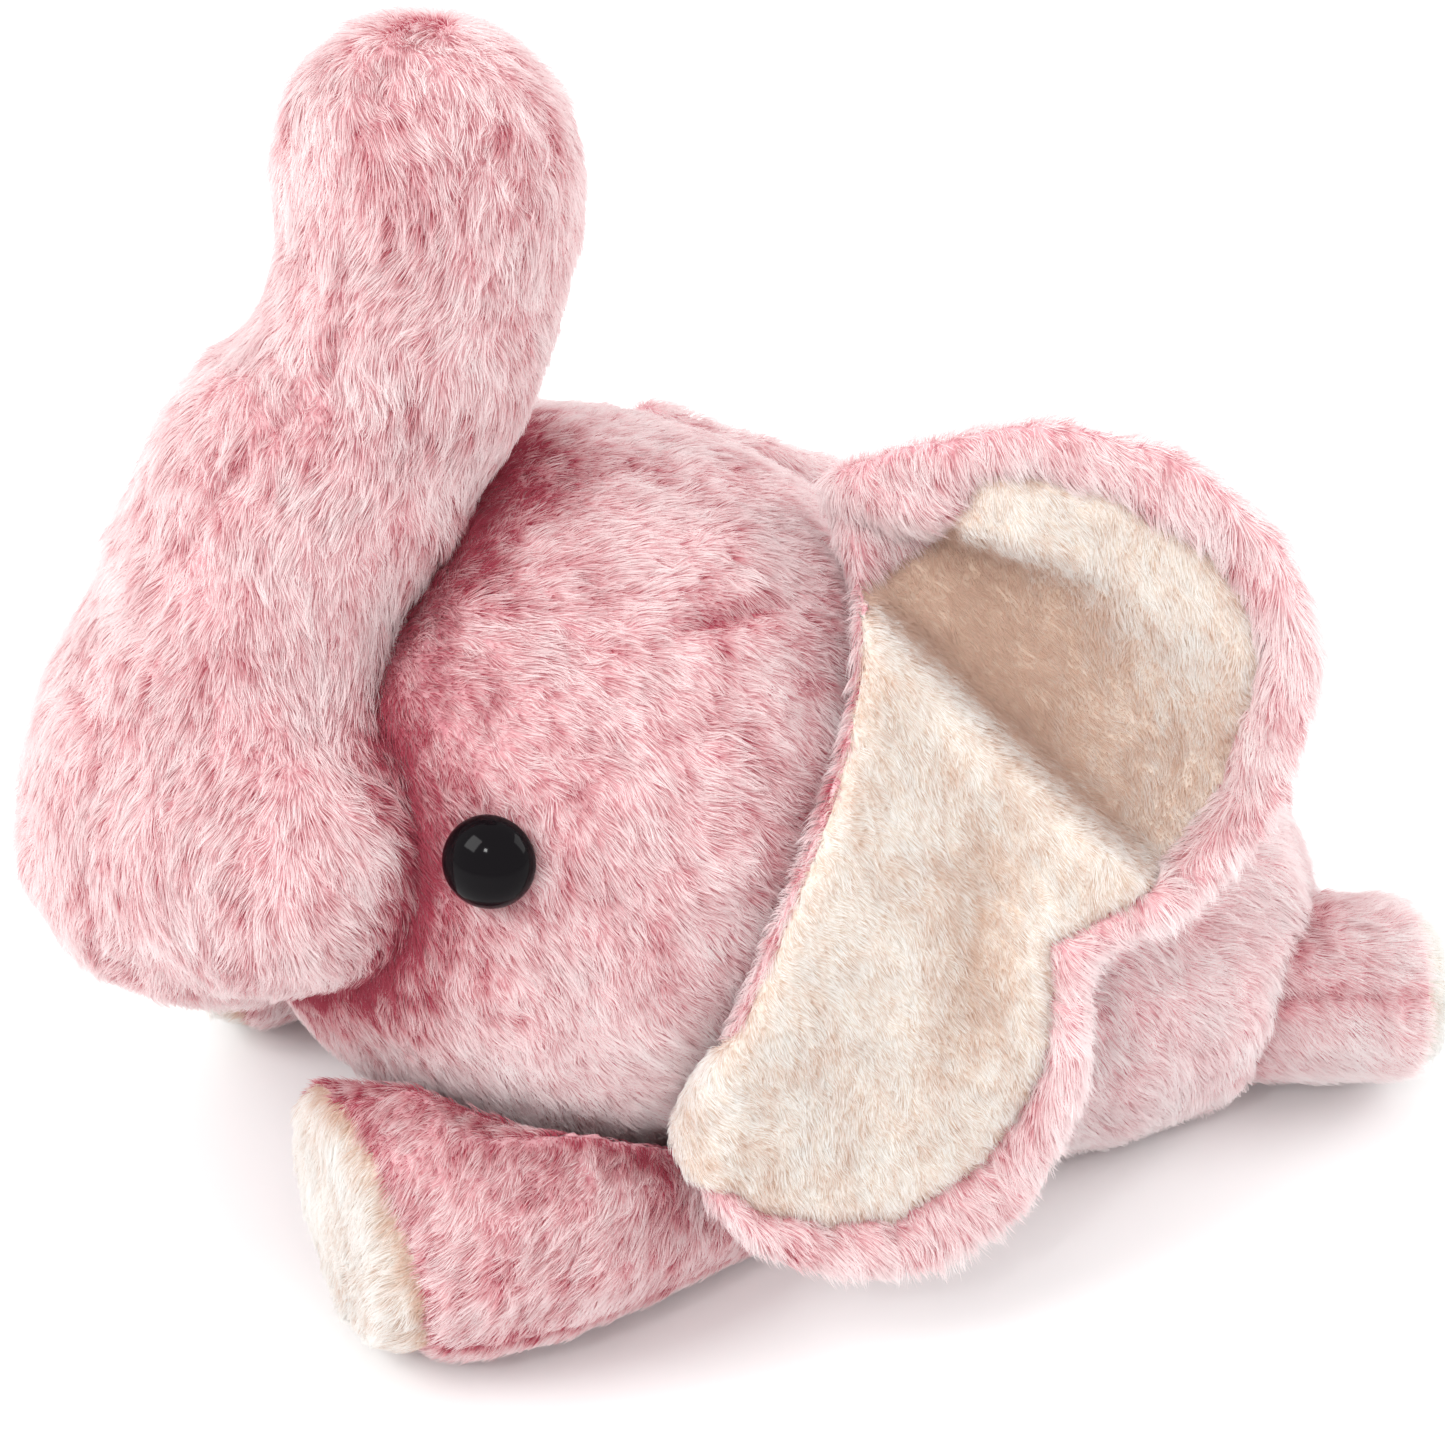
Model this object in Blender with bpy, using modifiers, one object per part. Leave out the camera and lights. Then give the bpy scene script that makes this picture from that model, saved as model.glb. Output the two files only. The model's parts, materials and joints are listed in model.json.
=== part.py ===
"""A stuffed elephant that lies on its belly with its trunk curled up over its forehead.

Sewn fur panels cover fibre stuffing. The head, both trunk sections, the ears, the legs and the tail
are separate sewn pieces, and each turns in the fabric of its root.
The elephant faces -Y, its left side is at +X, and it lies on Z = 0. Sizes here are in millimetres.
"""

import math

import bmesh
import bpy
import numpy as np
from mathutils import Matrix, Vector

MM = 0.001
FUR = 2.4  # thickness of a sewn panel
INSET = 3.0  # depth of the stuffing's surface under a panel's outer face
SEAM = 0.3  # gap between two panels at a seam
CLEAR = 2.0  # running gap round a piece that turns
HEAD_CLEAR = 5.0  # gap between the head and what lies under it

HEAD = np.array([0.0, -44.0, 122.0])
HEAD_R = 110.0
GUSSET_HALF = 20.0  # half the width of the strip over the middle of the head
TRUNK_BASE = np.array([0.0, -153.0, 139.0])
TRUNK_BASE_R = 57.0
TRUNK_BEND = np.array([0.0, -93.0, 252.0])
TRUNK_BEND_R = 36.5
TRUNK_BEND_UP = np.array([0.0, 0.45, 0.893])
FORE_ROOT = np.array([56.0, 38.0, 27.0])
FORE_ROOT_R = 26.0
FORE_TOWARDS = {"left": np.array([0.062, -0.998, 0.0]), "right": np.array([0.208, -0.978, 0.0])}
HIND_ROOT = np.array([66.0, 142.0, 35.0])
HIND_ROOT_R = 31.0
HIND_TOWARDS = np.array([0.4, 0.917, 0.0])
TAIL_ROOT = np.array([0.0, 188.0, 86.0])
TAIL_ROOT_R = 7.0
EYE_SIZES = {"rim": 12.3, "dome": 8.5, "shank": 3.0, "washer": 9.0}
EYE_TOWARDS = np.array([0.773, -0.545, 0.327])

# Each station is x, y, z, half width and half height of the section there.
BODY = [
    (0, 16, 40, 0, 0),
    (0, 18, 40, 50, 34),
    (0, 28, 40, 82, 54),
    (0, 50, 41, 98, 66),
    (0, 85, 42, 105, 70),
    (0, 125, 42, 102, 70),
    (0, 160, 47, 86, 62),
    (0, 182, 53, 50, 45),
    (0, 190, 55, 0, 0),
]
TRUNK_NECK = [
    (0, -151, 172, 50, 49),
    (0, -144, 196, 44, 42),
    (0, -125, 220, 42, 41),
    (0, -105, 240, 40, 39),
    (0, -102, 244, 0, 0),
]
TRUNK_TOP = [(0, -84, 273, 38, 37), (0, -80, 289, 40, 39)]
TRUNK_TIP = np.array([0.0, -80.0, 303.0])
TRUNK_TIP_R = 40.0
TAIL = [
    (0, 196, 76, 5, 5),
    (0, 201, 62, 4, 4),
    (0, 203, 46, 4, 4),
    (0, 204, 36, 8, 6),
    (0, 204, 26, 6, 5),
    (0, 204, 20, 0, 0),
]
# Distance from the root, radius, and how far outward the middle lies, of a leg's sections up to its sole.
FORE_LEG = [
    (30, 27, 4),
    (68, 30, 10),
    (102, 36, 13),
    (132, 43, 12),
    (160, 46, 7),
    (178, 43, 1),
    (187, 34, 0),
    (190, 0, 0),
]
HIND_LEG = [(22, 31, 0), (46, 31, 0), (58, 29, 0), (66, 20, 0), (68, 0, 0)]
# Columns of a leg's two seams: the one on top of its outer side and the one inside.
FORE_SEAMS = (7, 12)
HIND_SEAMS = (1, 6)
LEG_COLUMNS = 12
SOLE_ROWS = 2  # rows of a leg's end that its sole covers

# Where each ear is sewn to the head, from its top, and its own edge opposite. The left ear is spread
# out and the right one has flopped back, so they differ. Both lists are as if on the left.
EAR_ROOTS = {
    "left": [
        (36, 7, 219),
        (60, 1, 211),
        (80, -6, 198),
        (97, -17, 180),
        (108, -32, 158),
        (114, -47, 132),
        (115, -57, 110),
        (109, -66, 88),
    ],
    "right": [
        (72, 3, 197),
        (86, -4, 185),
        (99, -17, 168),
        (108, -31, 149),
        (113, -43, 130),
        (114, -54, 112),
        (109, -65, 92),
    ],
}
EAR_EDGES = {
    "left": [
        (50, 9, 232),
        (62, 19, 240),
        (88, 47, 254),
        (112, 70, 251),
        (132, 91, 232),
        (145, 98, 203),
        (148, 92, 162),
        (142, 70, 131),
        (132, 43, 117),
        (139, 41, 80),
        (139, 28, 42),
        (138, 0, 28),
        (133, -28, 33),
        (127, -51, 47),
        (117, -71, 77),
    ],
    "right": [
        (79, 18, 195),
        (86, 44, 186),
        (90, 66, 173),
        (97, 86, 158),
        (103, 98, 143),
        (110, 102, 124),
        (115, 92, 104),
        (119, 70, 92),
        (123, 46, 90),
        (133, 44, 74),
        (146, 28, 56),
        (144, 0, 44),
        (140, -26, 51),
        (135, -49, 66),
        (124, -68, 84),
    ],
}
EAR_LIFT = (0.8, -0.35, 0.45)  # the side of an ear that its lining is on
EAR_HOLLOWS = {"left": (20.0, 9.0), "right": (10.0, 5.0)}  # depths of the upper and the lower lobe's hollow
EAR_BACK = 6.5  # depth of an ear's back under the middle of its thickness
EAR_CLEAR = 4.0  # gap between an ear's root and the head

FLOOR = 0.0


def catmull(rows, between):
    """A smooth run through the rows, with `between` more rows in each span."""
    rows = np.array(rows, float)
    padded = np.vstack([2 * rows[0] - rows[1], rows, 2 * rows[-1] - rows[-2]])
    out = []
    for i in range(len(rows) - 1):
        a, b, c, d = padded[i : i + 4]
        for k in range(between + 1):
            t = k / (between + 1)
            out.append(
                0.5 * (2 * b + (c - a) * t + (2 * a - 5 * b + 4 * c - d) * t**2 + (3 * b - a - 3 * c + d) * t**3)
            )
    return np.array(out + [rows[-1]])


def ball_rows(centre, towards, radius, degrees):
    """Sections of a ball, at angles from its equator (0) to its pole (90) on the side that `towards` points to."""
    rows = []
    for angle in np.radians(degrees):
        place = centre + np.array(towards) * radius * math.sin(angle)
        rows.append((*place, radius * math.cos(angle), radius * math.cos(angle)))
    return rows


def sections(rows, side, columns):
    """Points of a loft: an ellipse at each row, square to the path. Column 0 is on `side`, and a quarter turn on is up."""
    rows = np.array(rows, float)
    side = np.array(side, float)
    along = np.gradient(rows[:, :3], axis=0)
    along /= np.linalg.norm(along, axis=1, keepdims=True)
    up = np.cross(side, along)
    up /= np.linalg.norm(up, axis=1, keepdims=True)
    angle = np.arange(columns) * 2 * math.pi / columns
    across = rows[:, 3, None, None] * np.cos(angle)[None, :, None] * side
    rise = rows[:, 4, None, None] * np.sin(angle)[None, :, None] * up[:, None, :]
    return rows[:, None, :3] + across + rise


def pressed(points, centre, radius):
    """Pushes points inside a ball out to its surface, as a stuffed piece gives way to another."""
    out = points - centre
    distance = np.linalg.norm(out, axis=-1, keepdims=True)
    return np.where(distance < radius, centre + out / distance * radius, points)


def settled(points, depth=0.0):
    """A skin `depth` inside one that lies on the floor and gives way to the head's ball."""
    points = pressed(points, HEAD, HEAD_R + HEAD_CLEAR + depth)
    points[..., 2] = np.maximum(points[..., 2], FLOOR + depth)
    return points


def mirrored(points):
    return points * np.array([-1.0, 1.0, 1.0])


def outward(grid):
    """Unit normals of a closed loft's points, facing out."""
    right = np.roll(grid, -1, axis=1)
    face = np.cross(right[1:] - grid[:-1], right[:-1] - grid[1:])
    centre = (grid[:-1] + grid[1:] + right[:-1] + right[1:]) / 4
    if ((centre - grid.mean(axis=(0, 1))) * face).sum() < 0:
        face = -face
    corner = face + np.roll(face, 1, axis=1)
    normal = np.zeros_like(grid)
    normal[:-1] += corner
    normal[1:] += corner
    for end in (0, -1):
        if np.ptp(grid[end], axis=0).max() < 1e-6:
            normal[end] = normal[end].sum(axis=0)
    return normal / np.linalg.norm(normal, axis=2, keepdims=True)


def skins(form, settle=None):
    """A form's outer face, the underside of its panels, and its stuffing's surface, as three grids."""
    normal = outward(form)
    grids = [form - normal * depth for depth in (0.0, FUR, INSET)]
    return [settle(grid, depth) for grid, depth in zip(grids, (0.0, FUR, INSET))] if settle else grids


def mesh_object(name, points, faces, material, pivot):
    """A named object in the elephant's collection, from points in millimetres. Its origin is its pivot."""
    bm = bmesh.new()
    verts = [bm.verts.new(Vector(p) * MM) for p in points]
    for face in faces:
        corners = [verts[i] for i in dict.fromkeys(face)]
        if len(corners) > 2:
            bm.faces.new(corners)
    bmesh.ops.remove_doubles(bm, verts=bm.verts, dist=1e-6)
    bmesh.ops.delete(bm, geom=[e for e in bm.edges if not e.link_faces], context="EDGES")
    bmesh.ops.recalc_face_normals(bm, faces=bm.faces)
    if bm.calc_volume(signed=True) < 0:
        bmesh.ops.reverse_faces(bm, faces=bm.faces)
    mesh = bpy.data.meshes.new(name)
    bm.to_mesh(mesh)
    bm.free()
    return adopt(name, mesh, material, pivot)


def adopt(name, mesh, material, pivot):
    """Puts a mesh in world coordinates into the scene, under the empty that marks its joint."""
    mesh.transform(Matrix.Translation(-pivots[pivot].matrix_world.translation))
    mesh.materials.clear()
    mesh.materials.append(materials[material])
    mesh.shade_smooth()
    mesh.set_sharp_from_angle(angle=math.radians(50))
    obj = bpy.data.objects.new(name, mesh)
    obj.parent = pivots[pivot]
    parts.objects.link(obj)
    return obj


def walls(rows, columns, wrap, offset=0):
    """Triangles between neighbouring rows and columns of a grid of points, all split along the same diagonal."""
    faces = []
    for i in range(rows - 1):
        for j in range(columns if wrap else columns - 1):
            a, b = offset + i * columns + j, offset + i * columns + (j + 1) % columns
            faces += [(a, a + columns, b + columns), (a, b + columns, b)]
    return faces


def strip(first, second):
    """Triangles between two runs of points, all split along the same diagonal."""
    faces = []
    for a, b, c, d in zip(first, first[1:], second, second[1:]):
        faces += [(a, b, d), (a, d, c)]
    return faces


def stuffing(name, grid, material, pivot):
    """A closed solid inside a grid of points."""
    rows, columns = grid.shape[:2]
    faces = walls(rows, columns, True)
    faces += [tuple(range(columns)), tuple((rows - 1) * columns + j for j in range(columns))]
    return mesh_object(name, grid.reshape(-1, 3), faces, material, pivot)


def panel(name, form, row_range, column_range, material, pivot):
    """A sewn panel: the stretch between two rows and two columns of a form's outer face and its underside.

    A column range of None goes all the way round. Edges that meet another panel stop half a SEAM short.
    """
    rows, columns = form[0].shape[:2]
    first, last = row_range
    wrap = column_range is None
    chosen = range(columns) if wrap else range(column_range[0], column_range[1] + 1)
    pick = [j % columns for j in chosen]
    layers = []
    for skin in form[:2]:
        face = skin[first : last + 1][:, pick].copy()
        if not wrap:
            trim(face[:, 0], face[:, 1])
            trim(face[:, -1], face[:, -2])
        if first > 0:
            trim(face[0], face[1])
        if last < rows - 1:
            trim(face[-1], face[-2])
        layers.append(face)
    r, c = layers[0].shape[:2]
    faces = walls(r, c, wrap) + walls(r, c, wrap, r * c)
    across = list(range(c)) + ([0] if wrap else [])
    for i in (0, r - 1):
        faces += strip([i * c + j for j in across], [r * c + i * c + j for j in across])
    if not wrap:
        for j in (0, c - 1):
            faces += strip([i * c + j for i in range(r)], [r * c + i * c + j for i in range(r)])
    points = np.concatenate([face.reshape(-1, 3) for face in layers])
    return mesh_object(name, points, faces, material, pivot)


def trim(edge, inner):
    """Moves an edge's points half a SEAM towards the points next to them, in place."""
    step = inner - edge
    length = np.linalg.norm(step, axis=-1, keepdims=True)
    edge += step / np.maximum(length, 1e-9) * np.minimum(SEAM / 2, length * 0.4)


def turned(points, pivot, axis, degrees):
    """Points turned about an axis through a pivot."""
    turn = np.array(Matrix.Rotation(math.radians(degrees), 3, Vector(axis)))
    return (points - pivot) @ turn.T + pivot


def swept(name, form, pivot, axis, angles):
    """A cutter: the hull of all the room that a form takes as it turns, and CLEAR round it."""
    grown = (form[0] + outward(form[0]) * CLEAR).reshape(-1, 3)
    bm = bmesh.new()
    for degrees in angles:
        for point in turned(grown, pivot, axis, degrees):
            bm.verts.new(Vector(point) * MM)
    hull = bmesh.ops.convex_hull(bm, input=bm.verts)
    inside = {v for v in hull["geom_interior"] + hull["geom_unused"] if isinstance(v, bmesh.types.BMVert)}
    bmesh.ops.delete(bm, geom=list(inside), context="VERTS")
    bmesh.ops.recalc_face_normals(bm, faces=bm.faces)
    return cutter(name, bm)


def cutter(name, bm):
    """A hidden object that only Boolean modifiers use."""
    mesh = bpy.data.meshes.new(name)
    bm.to_mesh(mesh)
    bm.free()
    obj = bpy.data.objects.new(name, mesh)
    obj.hide_render = True
    obj.display_type = "WIRE"
    cutters.objects.link(obj)
    return obj


def cut(obj, *tools):
    for tool in tools:
        boolean = obj.modifiers.new(tool.name, "BOOLEAN")
        boolean.operation = "DIFFERENCE"
        boolean.object = tool
        boolean.solver = "EXACT"


def leg_form(root, root_r, towards, stations, columns):
    """A leg from the pole of its round root to the middle of its sole, lying on the floor."""
    side = np.cross(towards, (0, 0, 1))
    rows = ball_rows(root, -towards, root_r, [90, 60, 30]) + [(*root, root_r, root_r)]
    foot = len(stations) - SOLE_ROWS - 1
    for i, (distance, radius, aside) in enumerate(stations):
        height = max(root[2], stations[min(i, foot)][1])
        place = root + towards * distance - side * aside
        rows.append((*place[:2], height, radius, radius))
    return sections(rows, side, columns)


def head_form(columns):
    """The head's ball, lofted from its right side to its left, with column 0 in front."""
    gusset = math.degrees(math.asin(GUSSET_HALF / HEAD_R))
    half = [0, gusset, 26, 42, 58, 74, 90]
    return sections(ball_rows(HEAD, (1, 0, 0), HEAD_R, [-a for a in half[:0:-1]] + half), (0, -1, 0), columns)


def build_head():
    form = skins(head_form(24))
    pieces = [
        panel("head_panel_left", form, (7, 12), None, "pink_fur", "head"),
        panel("head_panel_right", form, (0, 5), None, "pink_fur", "head"),
        panel("head_top_gusset", form, (5, 7), (4, 15), "pink_fur", "head"),
        panel("chin_gusset", form, (5, 7), (15, 23), "pink_fur", "head"),
        stuffing("head_stuffing", form[2], "stuffing", "head"),
    ]
    return form, pieces


def build_trunk():
    rows = ball_rows(TRUNK_BASE, (0, 0, -1), TRUNK_BASE_R, [90, 62, 35, 10]) + TRUNK_NECK
    lower = skins(sections(rows, (1, 0, 0), 20))
    rows = ball_rows(TRUNK_BEND, -TRUNK_BEND_UP, TRUNK_BEND_R, [90, 60, 30, 0]) + TRUNK_TOP
    rows += ball_rows(TRUNK_TIP, (0, 0.1, 0.995), TRUNK_TIP_R, [0, 30, 60, 90])
    upper = skins(sections(rows, (1, 0, 0), 20))
    made = {}
    for name, form, first, last in (("trunk_lower", lower, 0, 7), ("trunk_upper", upper, 2, 9)):
        made[name] = [
            panel(f"{name}_panel_left", form, (first, last), (15, 23), "pink_fur", name),
            panel(f"{name}_panel_right", form, (first, last), (7, 15), "pink_fur", name),
            panel(f"{name}_gusset", form, (first, last), (3, 7), "pink_fur", name),
            stuffing(f"{name}_stuffing", form[2], "stuffing", name),
        ]
    return lower, upper, made


def build_body():
    form = skins(sections(BODY, (1, 0, 0), 20), settled)
    last = len(BODY) - 1
    pieces = [
        panel("body_panel_left", form, (0, last), (18, 25), "pink_fur", "body"),
        panel("body_panel_right", form, (0, last), (5, 12), "pink_fur", "body"),
        panel("belly_gusset", form, (0, last), (12, 18), "pink_fur", "body"),
        stuffing("body_stuffing", form[2], "stuffing", "body"),
    ]
    return form, pieces


def build_leg(name, root, root_r, towards, stations, seams, sign):
    form = skins(leg_form(root, root_r, towards, stations, LEG_COLUMNS), settled)
    if sign < 0:
        form = [mirrored(skin) for skin in form]
    last = len(form[0]) - 1
    seam = last - SOLE_ROWS
    panel(f"{name}_upper_panel", form, (1, seam), (seams[0], seams[1]), "pink_fur", name)
    panel(f"{name}_lower_panel", form, (1, seam), (seams[1], seams[0] + LEG_COLUMNS), "pink_fur", name)
    panel(f"{name}_sole", form, (seam, last), None, "cream_fur", name)
    stuffing(f"{name}_stuffing", form[2], "stuffing", name)
    return form


def ear_grid(side):
    """Middle of an ear's thickness from its root to its edge, and the way its lining faces at each rib."""
    edge = np.array(EAR_EDGES[side], float)
    root = resampled(EAR_ROOTS[side], len(edge))
    share = np.array([0.0, 0.2, 0.4, 0.6, 0.8, 0.845, 0.88, 0.9, 0.96, 1.0])
    flat = root[:, None] + (edge - root)[:, None] * share[None, :, None]
    across = np.gradient(flat, axis=1)
    down = np.gradient(flat, axis=0)
    facing = np.cross(across, down)
    facing *= np.sign((facing * np.array(EAR_LIFT)).sum(axis=2, keepdims=True))
    facing = np.pad(facing.mean(axis=1), ((3, 3), (0, 0)), mode="edge")
    facing = sum(facing[i : i + len(edge)] * (4 - abs(i - 3)) for i in range(7))[:, None]
    facing /= np.linalg.norm(facing, axis=2, keepdims=True)
    place = np.linspace(0, 1, len(edge))[:, None]
    upper, lower = EAR_HOLLOWS[side]
    hollow = upper * bump(place, 0.36, 0.17) + lower * bump(place, 0.78, 0.11)
    grid = flat - facing * (hollow * np.sin(math.pi * share)[None, :])[:, :, None]
    return pressed(grid, HEAD, HEAD_R + EAR_CLEAR + EAR_BACK), facing, share


def bump(value, middle, width):
    return np.exp(-(((value - middle) / width) ** 2))


def resampled(points, count):
    """A smooth run through the points, as `count` points spaced evenly along its control points."""
    fine = catmull(points, 7)
    places = np.linspace(0, len(fine) - 1, count)
    return np.stack([np.interp(places, np.arange(len(fine)), fine[:, k]) for k in range(3)], axis=1)


def layer(name, front, back, material, pivot):
    """A closed sheet between two grids of points."""
    rows, columns = front.shape[:2]
    faces = walls(rows, columns, False) + walls(rows, columns, False, rows * columns)
    ring = list(range(columns))
    ring += [i * columns + columns - 1 for i in range(1, rows)]
    ring += [(rows - 1) * columns + j for j in range(columns - 2, -1, -1)]
    ring += [i * columns for i in range(rows - 2, -1, -1)]
    faces += strip(ring, [rows * columns + i for i in ring])
    return mesh_object(name, np.concatenate([front.reshape(-1, 3), back.reshape(-1, 3)]), faces, material, pivot)


def build_ear(side, sign):
    """A pink backing whose border folds over a cream lining, with thin wadding between them."""
    name = f"ear_{side}"
    grid, facing, share = ear_grid(side)
    rim = share >= 0.9
    front = np.where(rim, 5.0, -3.2) * np.where(share > 0.99, 0.4, 1)
    back = np.where(share > 0.99, -3.5, -EAR_BACK)
    lined, filled = slice(0, 6), slice(0, 5)

    def face(height):
        points = grid + facing * (np.ones(len(share)) * height)[:, None]
        return points if sign > 0 else mirrored(points)

    layer(f"{name}_backing", face(front), face(back), "pink_fur", name)
    layer(f"{name}_wadding", face(1.0)[:, filled], face(-1.8)[:, filled], "stuffing", name)
    layer(f"{name}_lining", face(4.8)[:, lined], face(2.0)[:, lined], "cream_fur", name)


def turned_piece(name, profile, closed, material, pivot, place, towards):
    """A round piece: its profile, as (radius, height), turned about the line that `towards` gives."""
    bm = bmesh.new()
    verts = [bm.verts.new((radius * MM, 0, height * MM)) for radius, height in profile]
    for a, b in zip(verts, verts[1:] + verts[:1] if closed else verts[1:]):
        bm.edges.new((a, b))
    mesh = bpy.data.meshes.new(name)
    bm.to_mesh(mesh)
    bm.free()
    mesh.materials.append(materials[material])
    obj = bpy.data.objects.new(name, mesh)
    obj.parent = pivots[pivot]
    obj.location = Vector(place) * MM - pivots[pivot].matrix_world.translation
    obj.rotation_euler = Vector(towards).to_track_quat("Z", "Y").to_euler()
    screw = obj.modifiers.new("turn", "SCREW")
    screw.steps = screw.render_steps = 16
    screw.use_merge_vertices = True
    screw.merge_threshold = 1e-5
    screw.use_smooth_shade = True
    parts.objects.link(obj)
    return obj


def round_cutter(name, place, towards, radius, depth):
    """A cylinder that reaches `depth` under a place on the skin."""
    bm = bmesh.new()
    bmesh.ops.create_cone(bm, cap_ends=True, segments=16, radius1=radius * MM, radius2=radius * MM, depth=2 * depth * MM)
    turn = Vector(towards).to_track_quat("Z", "Y").to_matrix().to_4x4()
    bm.transform(Matrix.Translation(Vector(place) * MM) @ turn)
    return cutter(name, bm)


def build_eye(side, sign, head_panel, head_stuffing):
    """A domed safety eye on the skin, its shank through the panel, and the washer that locks it inside."""
    towards = EYE_TOWARDS / np.linalg.norm(EYE_TOWARDS) * (sign, 1, 1)
    place = HEAD + towards * (HEAD_R + 1.2)
    rim, dome, shank, washer = (EYE_SIZES[key] for key in ("rim", "dome", "shank", "washer"))
    arc = [(rim * math.sin(a), 0.4 + dome * math.cos(a)) for a in np.radians([0, 20, 40, 60, 80])]
    profile = arc + [(rim, -0.2), (rim - 0.6, -0.8), (shank, -0.8), (shank, -10.2), (0, -10.6)]
    turned_piece(f"eye_{side}", profile, False, "eye_black", "head", place, towards)
    ring = [(shank + 0.5, -6.4), (washer, -6.4), (washer, -8.2), (shank + 0.5, -8.2)]
    turned_piece(f"eye_washer_{side}", ring, True, "washer_white", "head", place, towards)
    cut(head_panel, round_cutter(f"eye_hole_{side}", place, towards, shank + 0.5, 12))
    cut(head_stuffing, round_cutter(f"eye_well_{side}", place, towards, washer + 0.7, 12))


def build_tail():
    rows = ball_rows(TAIL_ROOT, (0, -0.6, 0.8), TAIL_ROOT_R, [90, 60, 30, 0]) + TAIL
    form = skins(sections(rows, (1, 0, 0), 8))
    stuffing("tail", form[0], "pink_fur", "tail")
    return form


def clear_scene():
    for obj in list(bpy.data.objects):
        bpy.data.objects.remove(obj)


def collection(name):
    made = bpy.data.collections.new(name)
    bpy.context.scene.collection.children.link(made)
    return made


def pivot(name, place, parent=None):
    """An empty on a joint's axis. Everything that turns with the joint hangs from it."""
    empty = bpy.data.objects.new(f"{name}_pivot", None)
    empty.empty_display_size = 0.02
    parts.objects.link(empty)
    if parent:
        empty.parent = pivots[parent]
        empty.location = Vector(place) * MM - pivots[parent].matrix_world.translation
    else:
        empty.location = Vector(place) * MM
    bpy.context.view_layer.update()
    pivots[name] = empty


def material(name, colour, roughness):
    made = bpy.data.materials.new(name)
    made.use_nodes = True
    shader = made.node_tree.nodes["Principled BSDF"]
    shader.inputs["Base Color"].default_value = (*colour, 1)
    shader.inputs["Roughness"].default_value = roughness
    materials[name] = made


clear_scene()
parts, cutters = collection("stuffed_elephant"), collection("cutters")
pivots, materials = {}, {}
material("pink_fur", (0.80, 0.47, 0.49), 0.9)
material("cream_fur", (0.84, 0.78, 0.70), 0.9)
material("stuffing", (0.90, 0.90, 0.88), 1.0)
material("eye_black", (0.01, 0.01, 0.012), 0.08)
material("washer_white", (0.85, 0.85, 0.83), 0.4)

sides = (("left", 1), ("right", -1))
ear_pivot = (np.array(EAR_ROOTS["left"][0]) + np.array(EAR_ROOTS["left"][-1])) / 2
pivot("body", (0, 0, 0))
pivot("head", HEAD, "body")
pivot("trunk_lower", TRUNK_BASE, "head")
pivot("trunk_upper", TRUNK_BEND, "trunk_lower")
pivot("tail", TAIL_ROOT, "body")
for side, sign in sides:
    pivot(f"foreleg_{side}", FORE_ROOT * (sign, 1, 1), "body")
    pivot(f"hind_leg_{side}", HIND_ROOT * (sign, 1, 1), "body")
    pivot(f"ear_{side}", ear_pivot * (sign, 1, 1), "head")

body, body_pieces = build_body()
head, head_pieces = build_head()
lower, upper, trunk_pieces = build_trunk()
tail = build_tail()
body_cutters = [swept("tail_room", tail, TAIL_ROOT, (0, 1, 0), (-35, 0, 35))]
for side, sign in sides:
    shoulder, hip = FORE_ROOT * (sign, 1, 1), HIND_ROOT * (sign, 1, 1)
    fore = build_leg(f"foreleg_{side}", FORE_ROOT, FORE_ROOT_R, FORE_TOWARDS[side], FORE_LEG, FORE_SEAMS, sign)
    hind = build_leg(f"hind_leg_{side}", HIND_ROOT, HIND_ROOT_R, HIND_TOWARDS, HIND_LEG, HIND_SEAMS, sign)
    body_cutters.append(swept(f"foreleg_room_{side}", fore, shoulder, (0, 0, sign), (0, 5)))
    body_cutters.append(swept(f"hind_leg_room_{side}", hind, hip, (0, 0, sign), (-20, -10, 0, 6)))
    build_ear(side, sign)
    build_eye(side, sign, head_pieces[0 if sign > 0 else 1], head_pieces[-1])
for piece in body_pieces:
    cut(piece, *body_cutters)
head_cutters = [
    swept("trunk_room", lower, TRUNK_BASE, (1, 0, 0), (0,)),
    swept("trunk_top_room", upper, TRUNK_BEND, (1, 0, 0), (-8, 0)),
]
for piece in head_pieces:
    cut(piece, *head_cutters)
trunk_cutter = swept("trunk_bend_room", upper, TRUNK_BEND, (1, 0, 0), (-8, 0, 12, 25))
for piece in trunk_pieces["trunk_lower"]:
    cut(piece, trunk_cutter)
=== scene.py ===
"""The looks of a stuffed elephant: long pink fur over smooth stuffed forms, cream linings and glossy eyes.

Each form is grown from the frame's own solids: their panels are fused into one skin, relaxed, drawn in along
the seams and ruffled, and then covered in combed strands of fur. Sizes are in metres.
"""

import json
import math

import bmesh
import bpy
import numpy as np
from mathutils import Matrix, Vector, noise
from mathutils.bvhtree import BVHTree
from mathutils.kdtree import KDTree


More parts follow.
